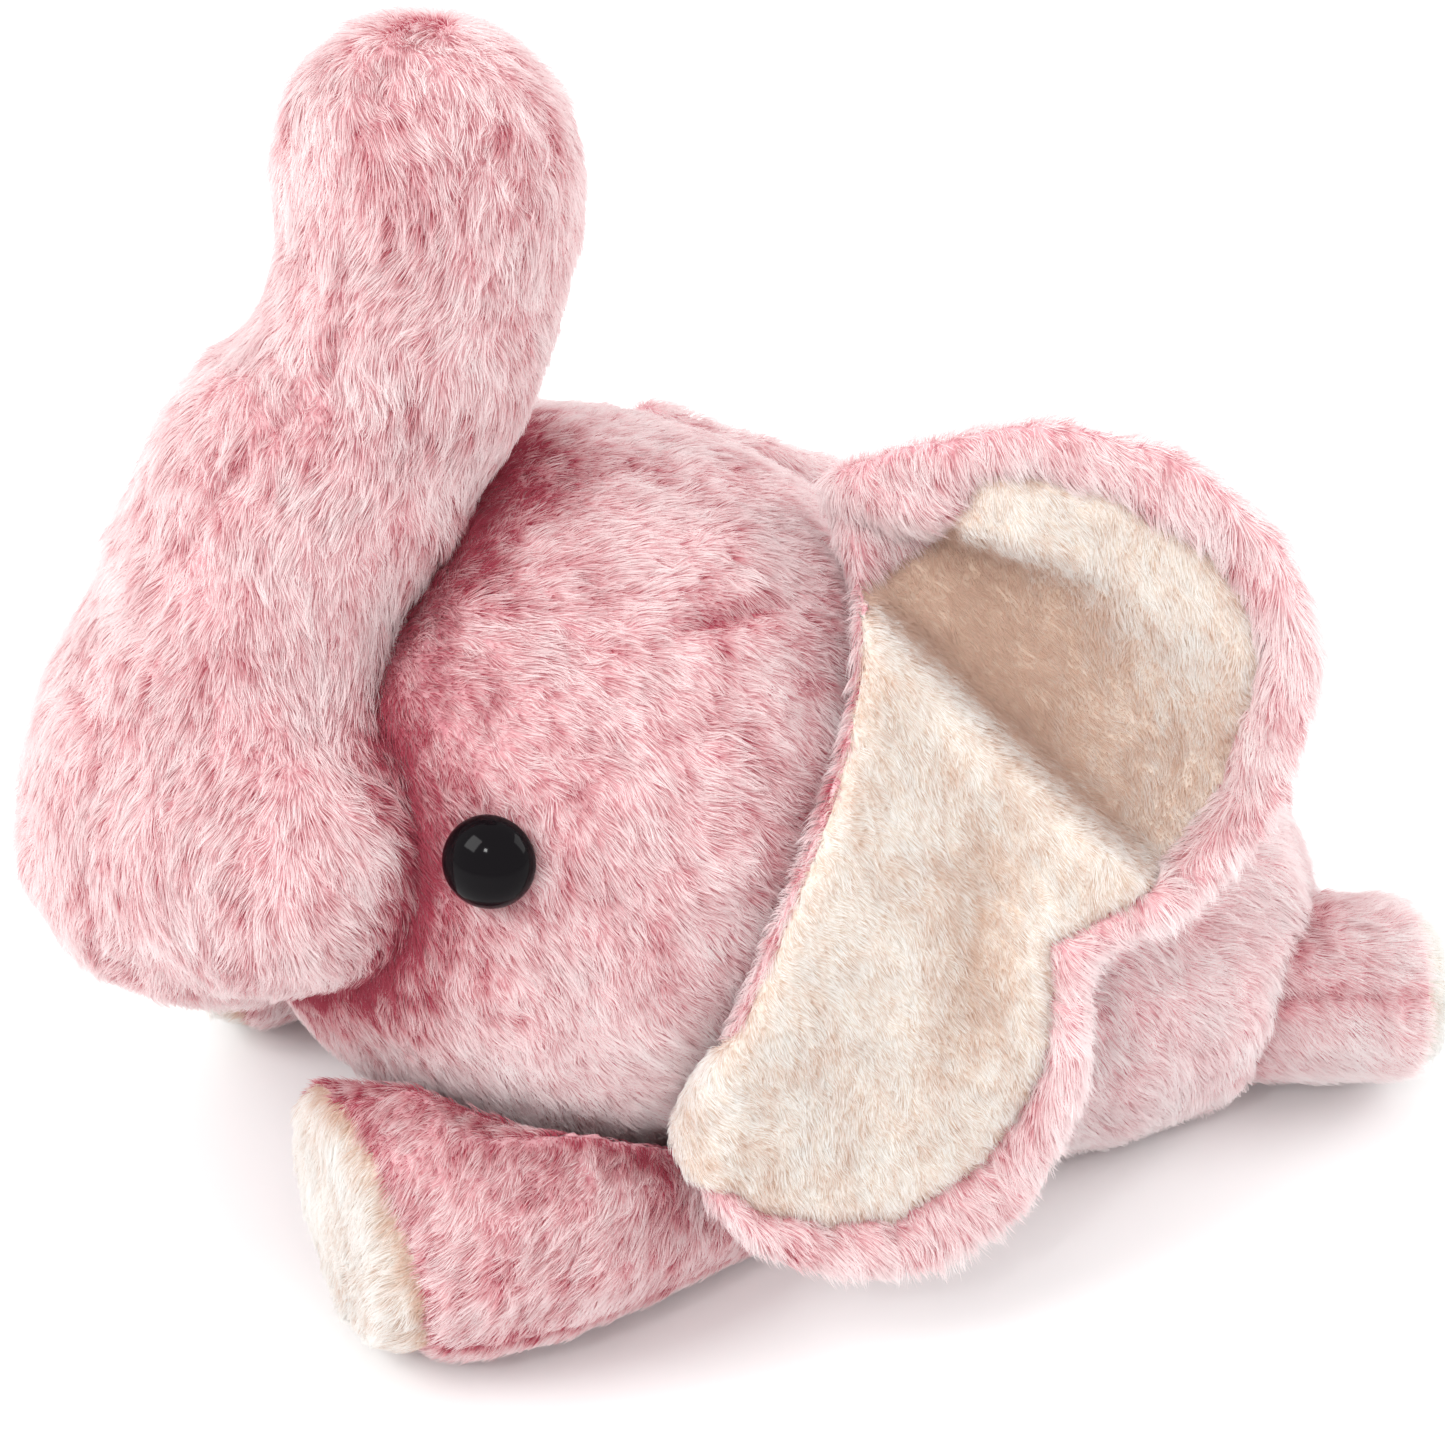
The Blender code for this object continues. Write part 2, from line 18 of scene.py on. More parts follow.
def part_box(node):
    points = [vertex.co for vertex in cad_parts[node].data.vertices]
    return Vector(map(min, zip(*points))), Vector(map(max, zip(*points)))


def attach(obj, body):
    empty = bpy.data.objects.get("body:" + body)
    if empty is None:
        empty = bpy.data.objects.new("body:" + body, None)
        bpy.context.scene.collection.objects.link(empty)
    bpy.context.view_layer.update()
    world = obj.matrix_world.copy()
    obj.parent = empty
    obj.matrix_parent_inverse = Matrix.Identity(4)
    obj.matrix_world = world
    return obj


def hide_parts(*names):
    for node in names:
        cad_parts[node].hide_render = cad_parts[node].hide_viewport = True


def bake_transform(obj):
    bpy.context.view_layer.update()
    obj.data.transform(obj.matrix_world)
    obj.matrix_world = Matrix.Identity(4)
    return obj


MM = 0.001
VOXEL = 2.4 * MM  # spacing of a form's vertices
INSET = 2.6 * MM  # from the outside of the pile, which the CAD solids hold, to the cloth under it
STRANDS = 2.0 * 1e6  # strands of fur per square metre, before each coat's own share
STRAND_RADIUS = 0.09 * 1.0 * MM  # of a strand at its root
SHORTEST_PILE = 0.4 * MM  # no strands grow where the pile is shorter than this

# The camera, as it stands to the elephant: degrees round from its front towards its left, and above the floor.
CAMERA_AZIMUTH = 66.0
CAMERA_ELEVATION = 30.0
CAMERA_TARGET = (0.047, -0.024, 0.159)
CAMERA_DISTANCE = 0.69
CAMERA_LENS = 63.5
CAMERA_SENSOR = 36.0

# Each area light: its name, where it stands, its size and its power in watts.
LIGHTS = (
    ("key", (0.2, -1.2, 1.2), 0.7, 11.0),
    ("back", (0.5, 1.3, 1.0), 0.9, 8.0),
    ("glint", (0.75, -0.75, 0.95), 0.12, 2.0),
)
LIGHTS_AIM = (0, 0, 0.12)
WORLD_STRENGTH = 1.1
FLOOR_REACH = 4.0  # from the middle of the floor to each side

# How long the pile is on each form.
HEAD_PILE = 5.8 * MM
TRUNK_PILE = 6.6 * MM
BODY_PILE = 6.2 * MM
LEG_PILE = 5.8 * MM
EAR_LINING_PILE = 3.6 * MM
EAR_BORDER_PILE = 7.0 * MM
TAIL_PILE = 3.5 * MM
TAIL_TUFT_PILE = 11.5 * MM

EYE_RADIUS = 12.0 * MM
EYE_DOME = 8.8 * MM  # from the eye's widest place to its top
EYE_SUNK = 1.2 * MM  # below the CAD eye, so that the pile stands round it

MUZZLE = (0.079, 0.060, 0.052)  # radii of the broad foot of the trunk, across, forwards and up
# The ends of the fold in an ear, each as (how far back, how high) in the box of its lining.
RIDGE = ((0.42, 0.82), (0.80, 0.49))
TRUNK_CLOSING = 15 * MM  # fills the crease between the foot of the trunk and its shaft
EAR_CLOSING = 4.5 * MM

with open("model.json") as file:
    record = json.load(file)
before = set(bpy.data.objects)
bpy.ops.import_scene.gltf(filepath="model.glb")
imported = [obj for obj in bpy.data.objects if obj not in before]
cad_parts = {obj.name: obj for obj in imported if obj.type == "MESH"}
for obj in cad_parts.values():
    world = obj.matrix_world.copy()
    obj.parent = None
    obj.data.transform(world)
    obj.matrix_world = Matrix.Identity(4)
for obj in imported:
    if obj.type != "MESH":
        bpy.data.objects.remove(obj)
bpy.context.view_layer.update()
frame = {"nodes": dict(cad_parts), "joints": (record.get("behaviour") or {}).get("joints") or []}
joints = {joint["name"]: joint for joint in frame["joints"]}


# ---------------------------------------------------------------- forms


def cad_mesh(names):
    """The points and faces of several CAD nodes together."""
    points, faces = [], []
    for name in names:
        mesh = frame["nodes"][name].data
        points += [v.co.copy() for v in mesh.vertices]
        start = len(points) - len(mesh.vertices)
        faces += [[start + i for i in p.vertices] for p in mesh.polygons]
    return points, faces


def linked(name, data):
    """A new object that holds the data, in the scene."""
    obj = bpy.data.objects.new(name, data)
    bpy.context.scene.collection.objects.link(obj)
    return obj


def object_of(name, points, faces):
    mesh = bpy.data.meshes.new(name)
    mesh.from_pydata([tuple(p) for p in points], [], [tuple(f) for f in faces])
    return linked(name, mesh)


def bake(obj):
    """Applies an object's modifiers."""
    graph = bpy.context.evaluated_depsgraph_get()
    mesh = bpy.data.meshes.new_from_object(obj.evaluated_get(graph))
    obj.modifiers.clear()
    obj.data = mesh


def vertex_values(obj, name):
    """A vector of each vertex, as an array with one row per vertex."""
    flat = np.empty(len(obj.data.vertices) * 3)
    obj.data.vertices.foreach_get(name, flat)
    return flat.reshape(-1, 3)


def coords(obj):
    return vertex_values(obj, "co")


def normals(obj):
    return vertex_values(obj, "normal")


def set_coords(obj, points):
    obj.data.vertices.foreach_set("co", points.ravel())
    obj.data.update()


def remesh(obj, voxel):
    modifier = obj.modifiers.new("remesh", "REMESH")
    modifier.mode = "VOXEL"
    modifier.voxel_size = voxel
    bake(obj)


def largest_shell(obj):
    """Drops the small closed shells that a remesh leaves in the gaps between solids."""
    bm = bmesh.new()
    bm.from_mesh(obj.data)
    unseen, shells = set(bm.verts), []
    while unseen:
        shell, edge = set(), [unseen.pop()]
        while edge:
            vert = edge.pop()
            shell.add(vert)
            for link in vert.link_edges:
                other = link.other_vert(vert)
                if other in unseen:
                    unseen.discard(other)
                    edge.append(other)
        shells.append(shell)
    shells.sort(key=len)
    for shell in shells[:-1]:
        bmesh.ops.delete(bm, geom=list(shell), context="VERTS")
    bm.to_mesh(obj.data)
    bm.free()


def swell(obj, distance):
    """Moves a skin out along its normals, by one distance or by one for each vertex."""
    set_coords(obj, coords(obj) + normals(obj) * np.reshape(distance, (-1, 1)))


def relax(obj, rounds, shrink=True):
    """Smooths a mesh. Without shrink, each round is undone in part, so that the form keeps its size."""
    points = coords(obj)
    ends = np.empty(len(obj.data.edges) * 2, dtype=np.int64)
    obj.data.edges.foreach_get("vertices", ends)
    a, b = ends.reshape(-1, 2).T
    count = np.bincount(np.concatenate([a, b]), minlength=len(points))[:, None]
    for _ in range(rounds):
        for share in (0.5,) if shrink else (0.5, -0.52):
            total = np.zeros_like(points)
            for axis in range(3):
                total[:, axis] = np.bincount(a, points[b, axis], len(points))
                total[:, axis] += np.bincount(b, points[a, axis], len(points))
            points = points + share * (total / np.maximum(count, 1) - points)
    set_coords(obj, points)


def ellipsoid(centre, radii):
    """The points and faces of an ellipsoid."""
    bm = bmesh.new()
    bmesh.ops.create_icosphere(bm, subdivisions=4, radius=1.0)
    points = [Vector([c + r * x for c, r, x in zip(centre, radii, v.co)]) for v in bm.verts]
    faces = [[v.index for v in f.verts] for f in bm.faces]
    bm.free()
    return points, faces


def fused(name, nodes, closing=0.0, rounds=12, hull=False, inset=INSET, extra=None, voxel=VOXEL):
    """One smooth skin just inside several CAD nodes.

    Closing fills the gaps narrower than twice its size. Hull starts from the convex hull of the nodes, and
    extra is one more closed form that the skin takes in.
    """
    points, faces = cad_mesh(nodes)
    if hull:
        bm = bmesh.new()
        for point in points:
            bm.verts.new(point)
        made = bmesh.ops.convex_hull(bm, input=bm.verts)
        inner = made["geom_interior"] + made["geom_unused"]
        loose = {v for v in inner if isinstance(v, bmesh.types.BMVert)}
        bmesh.ops.delete(bm, geom=list(loose), context="VERTS")
        bm.verts.index_update()
        points = [v.co.copy() for v in bm.verts]
        faces = [[v.index for v in f.verts] for f in bm.faces]
        bm.free()
    if extra:
        faces = faces + [[len(points) + i for i in f] for f in extra[1]]
        points = points + extra[0]
    obj = object_of(name, points, faces)
    remesh(obj, voxel)
    largest_shell(obj)
    if closing:
        relax(obj, 4)
        swell(obj, closing)
        remesh(obj, voxel)
        largest_shell(obj)
        relax(obj, 8)
        swell(obj, -closing)
    relax(obj, rounds, shrink=False)
    swell(obj, -inset)
    relax(obj, 2, shrink=False)
    return obj


def distances(obj, nodes):
    """How far each vertex is from each of several CAD nodes, one column per node."""
    trees = [BVHTree.FromPolygons(*cad_mesh([node])) for node in nodes]
    return np.array([[tree.find_nearest(v.co)[3] for tree in trees] for v in obj.data.vertices])


def noise_field(points, size, seed=0.0):
    """Smooth noise from -1 to 1, with features about `size` across."""
    offset = Vector((seed * 3.1, seed * 7.7, seed * 1.3))
    return np.array([noise.noise(Vector(p) / size + offset) for p in points])


def bell(value, width):
    """1 at zero, falling off smoothly over the width on both sides."""
    return np.exp(-((value / width) ** 2))


def steps(value, low, high):
    """0 below low, 1 above high and smooth between."""
    share = np.clip((value - low) / (high - low), 0, 1)
    return share * share * (3 - 2 * share)


def sew(obj, panels, depth=1.6 * MM):
    """Draws a skin in along the lines where two panels meet. Returns how near each vertex is to them."""
    away = np.sort(distances(obj, panels), axis=1)[:, 1]
    near = bell(away, 3.5 * MM)
    swell(obj, -depth * near)
    return near


def nearness(obj, nodes, reach):
    """1 where a skin touches some CAD nodes, falling off over the reach."""
    return bell(distances(obj, nodes).min(axis=1), reach)


def gap(obj, other):
    """How far each vertex of a skin is from another skin."""
    faces = [tuple(p.vertices) for p in other.data.polygons]
    tree = BVHTree.FromPolygons(coords(other).tolist(), faces)
    return np.array([tree.find_nearest(v.co)[3] for v in obj.data.vertices])


def ruffle(obj, height=0.7 * MM, seed=1.0):
    """Tufts of pile as real relief, in two sizes."""
    points = coords(obj)
    coarse = noise_field(points * (1, 1, 0.6), 9 * MM, seed)
    fine = noise_field(points * (1, 1, 0.5), 4 * MM, seed + 5)
    swell(obj, height * (0.7 * coarse + 0.5 * fine))


# ---------------------------------------------------------------- materials


def calculated(tree, kind, operation, a, b):
    """The output of a math node whose inputs are sockets or constants."""
    node = tree.nodes.new(kind)
    node.operation = operation
    for value, socket in zip((a, b), node.inputs):
        if isinstance(value, bpy.types.NodeSocket):
            tree.links.new(value, socket)
        else:
            socket.default_value = value
    return node.outputs[0]


def scalar(tree, operation, a, b):
    return calculated(tree, "ShaderNodeMath", operation, a, b)


def vector(tree, operation, a, b):
    return calculated(tree, "ShaderNodeVectorMath", operation, a, b)


def new_material(name):
    """A material, its node tree and its Principled shader."""
    made = bpy.data.materials.new(name)
    made.use_nodes = True
    return made, made.node_tree, made.node_tree.nodes["Principled BSDF"]


def ramp(tree, stops):
    """A colour ramp. Its first two stops are its ends, and the others stand between them."""
    made = tree.nodes.new("ShaderNodeValToRGB")
    elements = made.color_ramp.elements
    for element, (place, colour) in zip(elements, stops[:2]):
        element.position, element.color = place, (*colour, 1)
    for place, colour in stops[2:]:
        elements.new(place).color = (*colour, 1)
    return made


def attribute(tree, name):
    node = tree.nodes.new("ShaderNodeAttribute")
    node.attribute_name = name
    return node.outputs


def stretched_noise(tree, place, scale, detail, upright, shift=0.0):
    """Noise at a place, stretched along the height by the inverse of `upright`."""
    stretch = tree.nodes.new("ShaderNodeMapping")
    stretch.inputs["Location"].default_value = (shift, shift, shift)
    stretch.inputs["Scale"].default_value = (1.0, 1.0, upright)
    tree.links.new(place, stretch.inputs["Vector"])
    grain = tree.nodes.new("ShaderNodeTexNoise")
    grain.inputs["Scale"].default_value = scale
    grain.inputs["Detail"].default_value = detail
    tree.links.new(stretch.outputs["Vector"], grain.inputs["Vector"])
    return grain.outputs["Fac"]


def skin_material(name, deep, middle, light):
    """The cloth under the pile, mottled by how the tufts lie, with painted shade that turns it towards its deep
    colour in the creases and the ear's cup, and deeper along the seams.
    """
    made, tree, shader = new_material(name)
    shader.inputs["Roughness"].default_value = 0.95
    shader.inputs["Sheen Weight"].default_value = 0.2
    shader.inputs["Sheen Roughness"].default_value = 0.5
    place = tree.nodes.new("ShaderNodeTexCoord").outputs["Object"]
    tufts = stretched_noise(tree, place, 420.0, 5.0, 0.28)
    colours = ramp(tree, [(0.3, deep), (0.75, light), (0.5, middle)])
    tree.links.new(tufts, colours.inputs["Fac"])
    # Painted shade: the shade attribute mixes the cloth towards its deep colour where creases and the ear's cup
    # hold shade.
    creased = tree.nodes.new("ShaderNodeMix")
    creased.data_type = "RGBA"
    creased.inputs["B"].default_value = (*deep, 1)
    crease = scalar(tree, "MULTIPLY", attribute(tree, "shade")["Fac"], 0.8)
    tree.links.new(crease, creased.inputs["Factor"])
    tree.links.new(colours.outputs["Color"], creased.inputs["A"])
    tree.links.new(creased.outputs["Result"], shader.inputs["Base Color"])
    bump = tree.nodes.new("ShaderNodeBump")
    bump.inputs["Strength"].default_value = 0.9
    bump.inputs["Distance"].default_value = 1.2 * MM
    tree.links.new(tufts, bump.inputs["Height"])
    tree.links.new(bump.outputs["Normal"], shader.inputs["Normal"])
    return made


def strand_material(name, stops, parting):
    """One strand of pile: deeper at its root, darker with painted shade in the creases and the ear's cup and
    paler with painted light where the shade attribute is below zero, and patchy where the pile has parted.
    """
    made, tree, shader = new_material(name)
    shader.inputs["Roughness"].default_value = 0.55
    shader.inputs["Specular IOR Level"].default_value = 0.35
    shader.inputs["Sheen Weight"].default_value = 0.3
    hair = tree.nodes.new("ShaderNodeHairInfo").outputs
    root = attribute(tree, "root")["Vector"]
    tone = scalar(tree, "MULTIPLY", hair["Intercept"], 0.55)
    for share, size, seed in ((parting, 15 * MM, 0.0), (parting * 1.5, 4.5 * MM, 3.0)):
        patch = stretched_noise(tree, root, 1.0 / size, 2.0, 0.5, seed)
        patch = scalar(tree, "SUBTRACT", patch, 0.5)
        tone = scalar(tree, "ADD", tone, scalar(tree, "MULTIPLY", patch, share))
    tone = scalar(tree, "ADD", tone, scalar(tree, "MULTIPLY", hair["Random"], 0.22))
    # Painted light and shade: the shade attribute darkens the strand in creases and the ear's cup and pales it
    # where it is below zero.
    crease = scalar(tree, "MULTIPLY", attribute(tree, "shade")["Fac"], 0.65)
    tone = scalar(tree, "SUBTRACT", tone, crease)
    colours = ramp(tree, stops)
    tree.links.new(tone, colours.inputs["Fac"])
    tree.links.new(colours.outputs["Color"], shader.inputs["Base Color"])
    through = tree.nodes.new("ShaderNodeBsdfTranslucent")
    tree.links.new(colours.outputs["Color"], through.inputs["Color"])
    blend = tree.nodes.new("ShaderNodeMixShader")
    blend.inputs["Fac"].default_value = 0.4
    tree.links.new(shader.outputs["BSDF"], blend.inputs[1])
    tree.links.new(through.outputs["BSDF"], blend.inputs[2])
    tree.links.new(blend.outputs["Shader"], tree.nodes["Material Output"].inputs["Surface"])
    return made


def plastic(name, colour, roughness, specular=0.5):
    """Moulded plastic whose gloss varies a little."""
    made, tree, shader = new_material(name)
    shader.inputs["Base Color"].default_value = (*colour, 1)
    shader.inputs["Specular IOR Level"].default_value = specular
    grain = tree.nodes.new("ShaderNodeTexNoise")
    grain.inputs["Scale"].default_value = 300.0
    spread = tree.nodes.new("ShaderNodeMapRange")
    spread.inputs["To Min"].default_value = roughness * 0.8
    spread.inputs["To Max"].default_value = roughness * 1.3
    tree.links.new(grain.outputs["Fac"], spread.inputs["Value"])
    tree.links.new(spread.outputs["Result"], shader.inputs["Roughness"])
    return made


PINK = skin_material("pink_skin", (0.56, 0.20, 0.24), (0.76, 0.43, 0.46), (0.85, 0.60, 0.62))
CREAM = skin_material("cream_skin", (0.66, 0.49, 0.38), (0.80, 0.72, 0.64), (0.86, 0.81, 0.75))
# The deepest stops of these ramps are reached in the painted shade of creases and of the ear's cup, and at
# roots and partings.
PINK_STRAND = strand_material(
    "pink_strand",
    [
        (0.0, (0.52, 0.08, 0.13)),
        (1.0, (0.99, 0.955, 0.95)),
        (0.14, (0.74, 0.37, 0.40)),
        (0.45, (0.92, 0.78, 0.785)),
    ],
    parting=0.75,
)
CREAM_STRAND = strand_material(
    "cream_strand",
    [(0.0, (0.76, 0.58, 0.48)), (1.0, (0.97, 0.97, 0.965)), (0.45, (0.92, 0.91, 0.89))],
    parting=0.5,
)
EYE = plastic("eye_gloss", (0.003, 0.002, 0.003), 0.08, specular=0.1)
WASHER = plastic("washer_plastic", (0.85, 0.85, 0.83), 0.45)


# ---------------------------------------------------------------- fur


def scaled(tree, arrow, factor):
    """A vector times a number."""
    node = tree.nodes.new("ShaderNodeVectorMath")
    node.operation = "SCALE"
    tree.links.new(arrow, node.inputs[0])
    tree.links.new(factor, node.inputs["Scale"])
    return node.outputs[0]


def named(tree, name, kind):
    """The value of a named attribute."""
    node = tree.nodes.new("GeometryNodeInputNamedAttribute")
    node.data_type = kind
    node.inputs["Name"].default_value = name
    return node.outputs[0]


def stored(tree, geometry, name, kind, value):
    """The geometry with a value stored on its points."""
    node = tree.nodes.new("GeometryNodeStoreNamedAttribute")
    node.data_type = kind
    node.domain = "POINT"
    node.inputs["Name"].default_value = name
    tree.links.new(geometry, node.inputs["Geometry"])
    tree.links.new(value, node.inputs["Value"])
    return node.outputs[0]


def drift(tree, place, size, seed):
    """A vector of noise round zero, the same for strands that stand close together."""
    shifted = vector(tree, "ADD", place, (seed, seed * 2.0, seed * 3.0))
    node = tree.nodes.new("ShaderNodeTexNoise")
    node.inputs["Scale"].default_value = 1.0 / size
    node.inputs["Detail"].default_value = 1.0
    tree.links.new(shifted, node.inputs["Vector"])
    return vector(tree, "SUBTRACT", node.outputs["Color"], (0.5, 0.5, 0.5))


def rooted_strands(tree, source):
    """A strand of five points at every root, which remembers where its root is and which way the skin faces."""
    skin = tree.nodes.new("GeometryNodeObjectInfo")
    tree.links.new(source["Skin"], skin.inputs["Object"])
    scatter = tree.nodes.new("GeometryNodeDistributePointsOnFaces")
    tree.links.new(skin.outputs["Geometry"], scatter.inputs["Mesh"])
    tree.links.new(source["Density"], scatter.inputs["Density"])
    wanted = scalar(tree, "GREATER_THAN", named(tree, "pile", "FLOAT"), SHORTEST_PILE)
    tree.links.new(wanted, scatter.inputs["Selection"])
    place = tree.nodes.new("GeometryNodeInputPosition").outputs[0]
    points = stored(tree, scatter.outputs["Points"], "root", "FLOAT_VECTOR", place)
    points = stored(tree, points, "grow", "FLOAT_VECTOR", scatter.outputs["Normal"])
    line = tree.nodes.new("GeometryNodeCurvePrimitiveLine")
    line.inputs["End"].default_value = (0, 0, 1 * MM)
    bends = tree.nodes.new("GeometryNodeResampleCurve")
    bends.inputs["Count"].default_value = 5
    tree.links.new(line.outputs[0], bends.inputs["Curve"])
    copies = tree.nodes.new("GeometryNodeInstanceOnPoints")
    tree.links.new(points, copies.inputs["Points"])
    tree.links.new(bends.outputs[0], copies.inputs["Instance"])
    real = tree.nodes.new("GeometryNodeRealizeInstances")
    tree.links.new(copies.outputs[0], real.inputs[0])
    return real.outputs[0]


def curved(tree, t, t2, first, second):
    """first * t + second * t * t, for a place t along a strand."""
    return scalar(tree, "ADD", scalar(tree, "MULTIPLY", t, first), scalar(tree, "MULTIPLY", t2, second))


def fur_tree():
    """Geometry nodes that cover a skin in strands. Its attributes say how long and which way they lie."""
    tree = bpy.data.node_groups.new("fur", "GeometryNodeTree")
    sockets = [("Geometry", "Geometry"), ("Skin", "Object"), ("Density", "Float"), ("Thickness", "Float")]
    sockets += [("Clumps", "Float"), ("Material", "Material")]
    for name, kind in sockets:
        tree.interface.new_socket(name, in_out="INPUT", socket_type=f"NodeSocket{kind}")
    tree.interface.new_socket("Geometry", in_out="OUTPUT", socket_type="NodeSocketGeometry")
    source, result = tree.nodes.new("NodeGroupInput").outputs, tree.nodes.new("NodeGroupOutput")
    strands = rooted_strands(tree, source)

    root, grow = named(tree, "root", "FLOAT_VECTOR"), named(tree, "grow", "FLOAT_VECTOR")
    comb, pile = named(tree, "comb", "FLOAT_VECTOR"), named(tree, "pile", "FLOAT")
    t = tree.nodes.new("GeometryNodeSplineParameter").outputs["Factor"]
    t2 = scalar(tree, "MULTIPLY", t, t)
    chance = tree.nodes.new("ShaderNodeTexWhiteNoise")
    tree.links.new(root, chance.inputs["Vector"])
    own = scalar(tree, "ADD", scalar(tree, "MULTIPLY", chance.outputs["Value"], 0.5), 0.62)
    length = scalar(tree, "MULTIPLY", pile, own)

    # A strand leaves the skin steeply, leans over along the comb, and is pulled aside with its neighbours.
    upright, lean = curved(tree, t, t2, 0.72, -0.30), curved(tree, t, t2, 0.38, 0.42)
    swirl = scaled(tree, drift(tree, root, 16 * MM, 4.0), scalar(tree, "MULTIPLY", t, 1.1))
    pull = scalar(tree, "MULTIPLY", t2, source["Clumps"])
    tuft = scaled(tree, drift(tree, root, 4.2 * MM, 9.0), pull)
    stray = vector(tree, "SUBTRACT", chance.outputs["Color"], (0.5, 0.5, 0.5))
    stray = scaled(tree, stray, scalar(tree, "MULTIPLY", t, 0.16))
    aside = vector(tree, "ADD", vector(tree, "ADD", swirl, tuft), stray)
    rise = vector(tree, "DOT_PRODUCT", aside, grow).node.outputs["Value"]
    level = scaled(tree, grow, scalar(tree, "MULTIPLY", rise, 0.75))
    aside = vector(tree, "SUBTRACT", aside, level)
    shape = vector(tree, "ADD", scaled(tree, grow, upright), scaled(tree, comb, lean))
    shape = vector(tree, "ADD", shape, aside)
    move = tree.nodes.new("GeometryNodeSetPosition")
    tree.links.new(strands, move.inputs["Geometry"])
    tree.links.new(vector(tree, "ADD", root, scaled(tree, shape, length)), move.inputs["Position"])

    taper = scalar(tree, "SUBTRACT", 1.0, scalar(tree, "MULTIPLY", t2, 0.85))
    radius = tree.nodes.new("GeometryNodeSetCurveRadius")
    tree.links.new(move.outputs[0], radius.inputs["Curve"])
    tree.links.new(scalar(tree, "MULTIPLY", taper, source["Thickness"]), radius.inputs["Radius"])
    dress = tree.nodes.new("GeometryNodeSetMaterial")
    tree.links.new(radius.outputs[0], dress.inputs["Geometry"])
    tree.links.new(source["Material"], dress.inputs["Material"])
    tree.links.new(dress.outputs[0], result.inputs[0])
    return tree


FUR = fur_tree()


def keep(obj, name, values):
    """Stores a number or a vector for each vertex of a skin."""
    kind, field = ("FLOAT", "value") if values.ndim == 1 else ("FLOAT_VECTOR", "vector")
    made = obj.data.attributes.new(name, kind, "POINT")
    made.data.foreach_set(field, values.astype(np.float32).ravel())


def comb_fur(obj, pile, flow, swirl=0.35, seam=0.0, shade=0.0):
    """Stores how long the pile is, which way it lies and how deep its colour is, which `shade` sets as painted
    shade above zero and painted light below zero.

    It lies along `flow`, pressed to the skin and turned by noise. It is shorter and deeper along a seam.
    """
    points, normal = coords(obj), normals(obj)
    flow = flow(points) if callable(flow) else np.broadcast_to(np.array(flow, float), points.shape)
    lie = flow - normal * (flow * normal).sum(axis=1, keepdims=True)
    size = np.linalg.norm(lie, axis=1, keepdims=True)
    lie = lie / np.maximum(size, 0.25)
    across = np.cross(normal, lie)
    lie = lie + across * (swirl * 2 * noise_field(points, 30 * MM, 2.0))[:, None]
    uneven = 1 + 0.18 * noise_field(points, 22 * MM, 8.0)
    lengths = np.broadcast_to(np.asarray(pile, float), len(points)) * uneven
    keep(obj, "pile", lengths * (1 - 0.55 * seam))
    keep(obj, "comb", lie)
    # Painted light and shade go into the shade attribute, together with the seams' deeper colour.
    keep(obj, "shade", np.clip(np.broadcast_to(shade + 0.7 * seam, len(points)), -1, 1.5))


def grow_fur(obj, strand, share):
    """Covers a skin in strands, held by a curves object that hangs from it."""
    name = f"{obj.name}_strands"
    pile = linked(name, bpy.data.hair_curves.new(name))
    pile.parent = obj
    modifier = pile.modifiers.new("fur", "NODES")
    modifier.node_group = FUR
    names = {item.name: item.identifier for item in FUR.interface.items_tree if item.in_out == "INPUT"}
    modifier[names["Skin"]] = obj
    modifier[names["Density"]] = STRANDS * share
    modifier[names["Thickness"]] = STRAND_RADIUS
    modifier[names["Clumps"]] = 1.6
    modifier[names["Material"]] = strand


def clothe(obj, slot):
    """Gives a skin its cloth and its strands."""
    coats = {"pink_fur": (PINK, PINK_STRAND, 1.0), "cream_fur": (CREAM, CREAM_STRAND, 1.2)}
    skin, strand, share = coats[slot]
    obj.data.materials.clear()
    obj.data.materials.append(skin)
    obj.data.shade_smooth()
    grow_fur(obj, strand, share)


def contour(obj, field):
    """Cuts a mesh along the line where a number held per vertex is zero. Returns the new mesh's numbers."""
    bm = bmesh.new()
    bm.from_mesh(obj.data)
    value = bm.verts.layers.float.new("field")
    for vert, number in zip(bm.verts, field):
        vert[value] = number
    crossed = [e for e in bm.edges if e.verts[0][value] * e.verts[1][value] < 0]
    faces = {f for e in crossed for f in e.link_faces}
    for edge in crossed:
        a, b = edge.verts
        share = a[value] / (a[value] - b[value])
        _, middle = bmesh.utils.edge_split(edge, a, share)
        middle[value] = 0.0
    for face in faces:
        ends = [v for v in face.verts if v[value] == 0.0]
        if len(ends) == 2 and not any(e.other_vert(ends[0]) is ends[1] for e in ends[0].link_edges):
            bmesh.utils.face_split(face, *ends)
    bm.verts.index_update()
    made = np.array([v[value] for v in bm.verts])
    bm.to_mesh(obj.data)
    bm.free()
    return made


def write_without(source, target, dropped):
    """Writes one mesh's faces to another, except those with these numbers."""
    bm = bmesh.new()
    bm.from_mesh(source)
    bmesh.ops.delete(bm, geom=[f for f in bm.faces if f.index in dropped], context="FACES")
    bm.to_mesh(target)
    bm.free()


def split(obj, part, field):
    """Moves the faces on a field's positive side to a new object."""
    positive = {p.index for p in obj.data.polygons if np.mean([field[v] for v in p.vertices]) > 0}
    others = {p.index for p in obj.data.polygons} - positive
    mesh = bpy.data.meshes.new(part)
    write_without(obj.data, mesh, others)
    write_without(obj.data, obj.data, positive)
    return linked(part, mesh)


# ---------------------------------------------------------------- head, trunk and body


